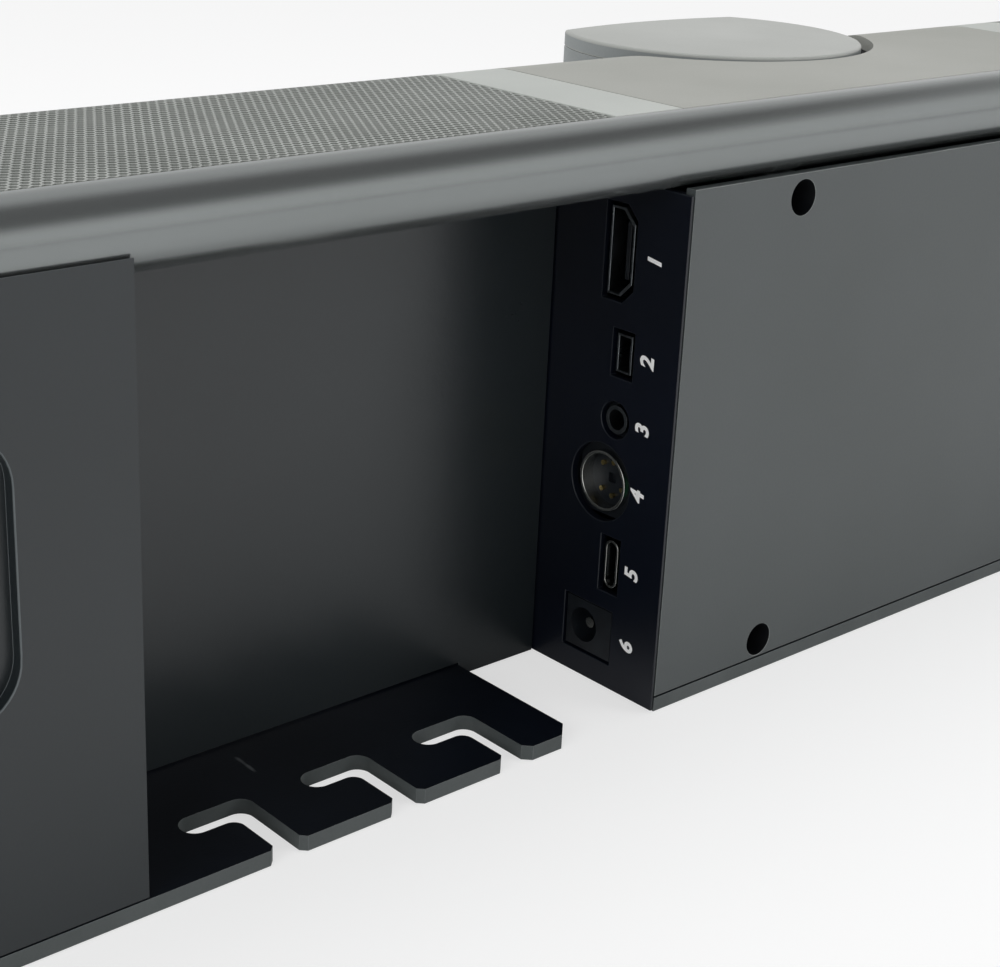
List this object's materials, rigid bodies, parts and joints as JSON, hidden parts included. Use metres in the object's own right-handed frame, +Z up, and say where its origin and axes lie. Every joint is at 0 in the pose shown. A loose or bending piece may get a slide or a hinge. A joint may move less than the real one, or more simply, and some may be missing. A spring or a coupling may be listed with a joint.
{
  "type": "conference camera",
  "caption": "Long bar-shaped conference camera with a panning head, perforated speaker grilles, a rear cable bay with hooks and a side socket panel.",
  "frame": {"origin": "mouth of the tripod thread in the underside of the base plate, in the middle of the bar", "axes": "+X along the bar towards the cable bay, -Y the way the camera looks, +Z up"},
  "size_m": [0.6, 0.0803, 0.1041],
  "materials": {
    "dark_body": "fine matt powder coat",
    "rail_coat": "satin powder coat",
    "cover_coat": "fine matt powder coat",
    "base_coat": "fine matt powder coat",
    "panel_black": "smooth black",
    "grey_skin": "fine matt grey",
    "light_trim": "satin light grey",
    "mesh": "perforated and coated",
    "head_grey": "fine matt grey",
    "head_dark": "matt black",
    "window_black": "gloss black",
    "lens": "coated",
    "steel": "bright",
    "socket_steel": "bright plated",
    "dark_steel": "dull",
    "socket_black": "moulded black",
    "pin_brass": "plated",
    "brass": "turned",
    "board": "solder mask green",
    "chip": "moulded black",
    "sink": "extruded",
    "inner_plastic": "moulded black",
    "cone_black": "pressed fibre",
    "surround_rubber": "soft",
    "bearing_white": "smooth low-friction"
  },
  "bodies": {
    "bar": {"base_plate": "base_coat", "left_housing": "dark_body", "right_housing": "dark_body", "top_rail": "rail_coat", "rear_cover": "cover_coat", "connector_panel": "panel_black", "video_shell": "dark_steel", "video_insert": "socket_black", "mic_shell": "dark_steel", "mic_insert": "socket_black", "jack_body": "socket_black", "jack_sleeve": "socket_steel", "serial_body": "socket_black", "serial_ring": "socket_steel", "serial_pins": "pin_brass", "computer_shell": "socket_steel", "computer_insert": "socket_black", "power_body": "socket_black", "power_tip": "socket_steel", "main_board": "board", "board_chips": "chip", "heat_sink": "sink", "head_well": "inner_plastic", "centre_shroud": "grey_skin", "status_window": "window_black", "trim_strips": "light_trim", "grille_left": "mesh", "grille_right": "mesh", "end_cap_left": "dark_body", "end_cap_right": "dark_body", "deck": "head_dark", "pan_motor": "steel", "pan_bearing": "bearing_white", "microphone_board": "board", "microphones": "pin_brass", "amplifier_board": "board", "amplifier_parts": "sink", "speaker_boxes": "inner_plastic", "speaker_baskets": "dark_steel", "speaker_surrounds": "surround_rubber", "speaker_cones": "cone_black", "speaker_magnets": "steel", "cover_screws": "dark_steel", "base_screws": "dark_steel", "board_screws": "dark_steel", "end_screws": "dark_steel", "tripod_insert": "brass", "bracket_inserts": "brass"},
    "head": {"head_base": "head_dark", "head_shell": "head_grey", "head_cap": "head_grey", "head_window": "window_black", "head_yoke": "head_dark", "pan_shaft": "steel", "tilt_motor": "steel"},
    "eye": {"tilt_cradle": "head_dark", "lens_barrel": "head_dark", "lens_glass": "lens", "sensor_board": "board"}
  },
  "joints": [
    {"name": "head_pan", "type": "hinge", "parent": "bar", "child": "head", "pos_m": [0, -0.0247, 0.022], "axis": [0, 0, 1], "range_deg": [-60, 60]},
    {"name": "lens_tilt", "type": "hinge", "parent": "head", "child": "eye", "pos_m": [0, -0.0247, 0.062], "axis": [1, 0, 0], "range_deg": [-20, 20]}
  ]
}
